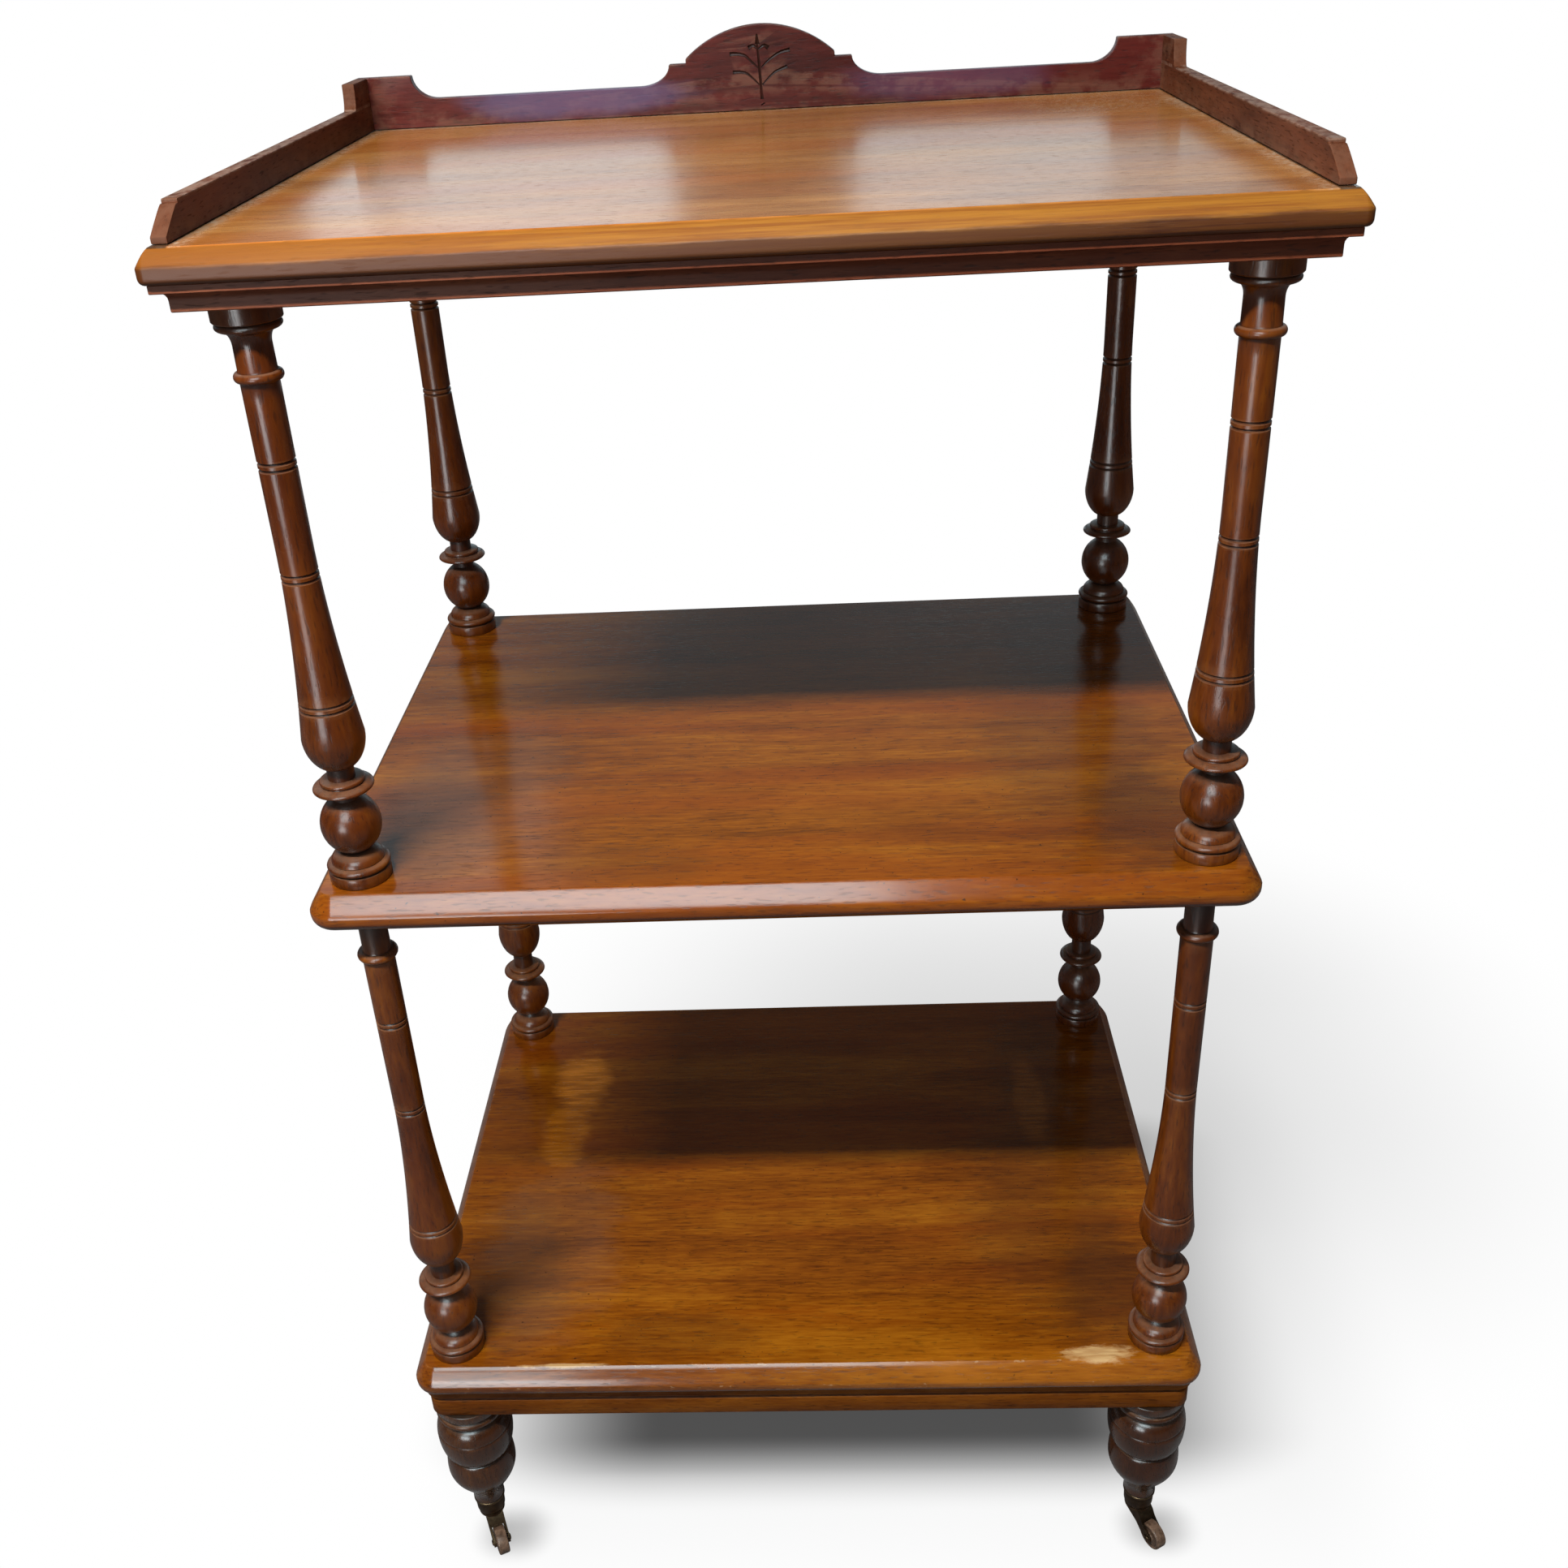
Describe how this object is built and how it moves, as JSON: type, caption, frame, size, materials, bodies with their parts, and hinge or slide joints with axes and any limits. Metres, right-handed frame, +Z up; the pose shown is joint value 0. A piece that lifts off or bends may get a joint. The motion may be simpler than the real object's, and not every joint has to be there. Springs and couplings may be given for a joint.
{
  "type": "tiered dumbwaiter",
  "caption": "Tiered mahogany serving stand: flat shelves with thumb-moulded edges on turned posts, a low shaped gallery, and turned feet on swivelling brass cup casters.",
  "frame": {"origin": "on the floor under the middle of the shelves, midway between the four wheels' posts", "axes": "+Z up, +Y towards the gallery back, +X to the right seen from the front"},
  "size_m": [0.6886, 0.5266, 1.2461],
  "materials": {
    "shelf_mahogany": "polished",
    "moulding_mahogany": "polished",
    "gallery_mahogany": "satin",
    "turned_mahogany": "polished",
    "aged_brass": "aged",
    "brown_china": "worn gloss"
  },
  "bodies": {
    "stand": {"top_board": "shelf_mahogany", "middle_shelf": "shelf_mahogany", "bottom_shelf": "shelf_mahogany", "shelf_pad_front_left": "shelf_mahogany", "shelf_pad_front_right": "shelf_mahogany", "shelf_pad_rear_left": "shelf_mahogany", "shelf_pad_rear_right": "shelf_mahogany", "cornice_front": "moulding_mahogany", "cornice_rear": "moulding_mahogany", "cornice_left": "moulding_mahogany", "cornice_right": "moulding_mahogany", "frieze_front": "moulding_mahogany", "frieze_rear": "moulding_mahogany", "frieze_left": "moulding_mahogany", "frieze_right": "moulding_mahogany", "gallery_back": "gallery_mahogany", "gallery_left": "gallery_mahogany", "gallery_right": "gallery_mahogany", "upper_post_front_left": "turned_mahogany", "upper_post_front_right": "turned_mahogany", "upper_post_rear_left": "turned_mahogany", "upper_post_rear_right": "turned_mahogany", "lower_post_front_left": "turned_mahogany", "lower_post_front_right": "turned_mahogany", "lower_post_rear_left": "turned_mahogany", "lower_post_rear_right": "turned_mahogany", "foot_front_left": "turned_mahogany", "foot_front_right": "turned_mahogany", "foot_rear_left": "turned_mahogany", "foot_rear_right": "turned_mahogany", "caster_cup_front_left": "aged_brass", "caster_cup_front_right": "aged_brass", "caster_cup_rear_left": "aged_brass", "caster_cup_rear_right": "aged_brass"},
    "caster_swivel_front_left": {"caster_horn_front_left": "aged_brass", "swivel_pin_front_left": "aged_brass", "wheel_axle_front_left": "aged_brass"},
    "caster_roller_front_left": {"caster_wheel_front_left": "brown_china"},
    "caster_swivel_front_right": {"caster_horn_front_right": "aged_brass", "swivel_pin_front_right": "aged_brass", "wheel_axle_front_right": "aged_brass"},
    "caster_roller_front_right": {"caster_wheel_front_right": "brown_china"},
    "caster_swivel_rear_left": {"caster_horn_rear_left": "aged_brass", "swivel_pin_rear_left": "aged_brass", "wheel_axle_rear_left": "aged_brass"},
    "caster_roller_rear_left": {"caster_wheel_rear_left": "brown_china"},
    "caster_swivel_rear_right": {"caster_horn_rear_right": "aged_brass", "swivel_pin_rear_right": "aged_brass", "wheel_axle_rear_right": "aged_brass"},
    "caster_roller_rear_right": {"caster_wheel_rear_right": "brown_china"}
  },
  "joints": [
    {"name": "swivel_front_left", "type": "hinge", "parent": "stand", "child": "caster_swivel_front_left", "pos_m": [-0.3, -0.219, 0.03], "axis": [0, 0, 1], "continuous": true},
    {"name": "roll_front_left", "type": "hinge", "parent": "caster_swivel_front_left", "child": "caster_roller_front_left", "pos_m": [-0.29028, -0.23985, 0.0127], "axis": [0.9063, 0.4226, 0], "continuous": true},
    {"name": "swivel_front_right", "type": "hinge", "parent": "stand", "child": "caster_swivel_front_right", "pos_m": [0.3, -0.219, 0.03], "axis": [0, 0, 1], "continuous": true},
    {"name": "roll_front_right", "type": "hinge", "parent": "caster_swivel_front_right", "child": "caster_roller_front_right", "pos_m": [0.3115, -0.23892, 0.0127], "axis": [0.866, 0.5, 0], "continuous": true},
    {"name": "swivel_rear_left", "type": "hinge", "parent": "stand", "child": "caster_swivel_rear_left", "pos_m": [-0.3, 0.219, 0.03], "axis": [0, 0, 1], "continuous": true},
    {"name": "roll_rear_left", "type": "hinge", "parent": "caster_swivel_rear_left", "child": "caster_roller_rear_left", "pos_m": [-0.2892, 0.19869, 0.0127], "axis": [0.8829, 0.4695, 0], "continuous": true},
    {"name": "swivel_rear_right", "type": "hinge", "parent": "stand", "child": "caster_swivel_rear_right", "pos_m": [0.3, 0.219, 0.03], "axis": [0, 0, 1], "continuous": true},
    {"name": "roll_rear_right", "type": "hinge", "parent": "caster_swivel_rear_right", "child": "caster_roller_rear_right", "pos_m": [0.30899, 0.19783, 0.0127], "axis": [0.9205, 0.3907, 0], "continuous": true}
  ]
}
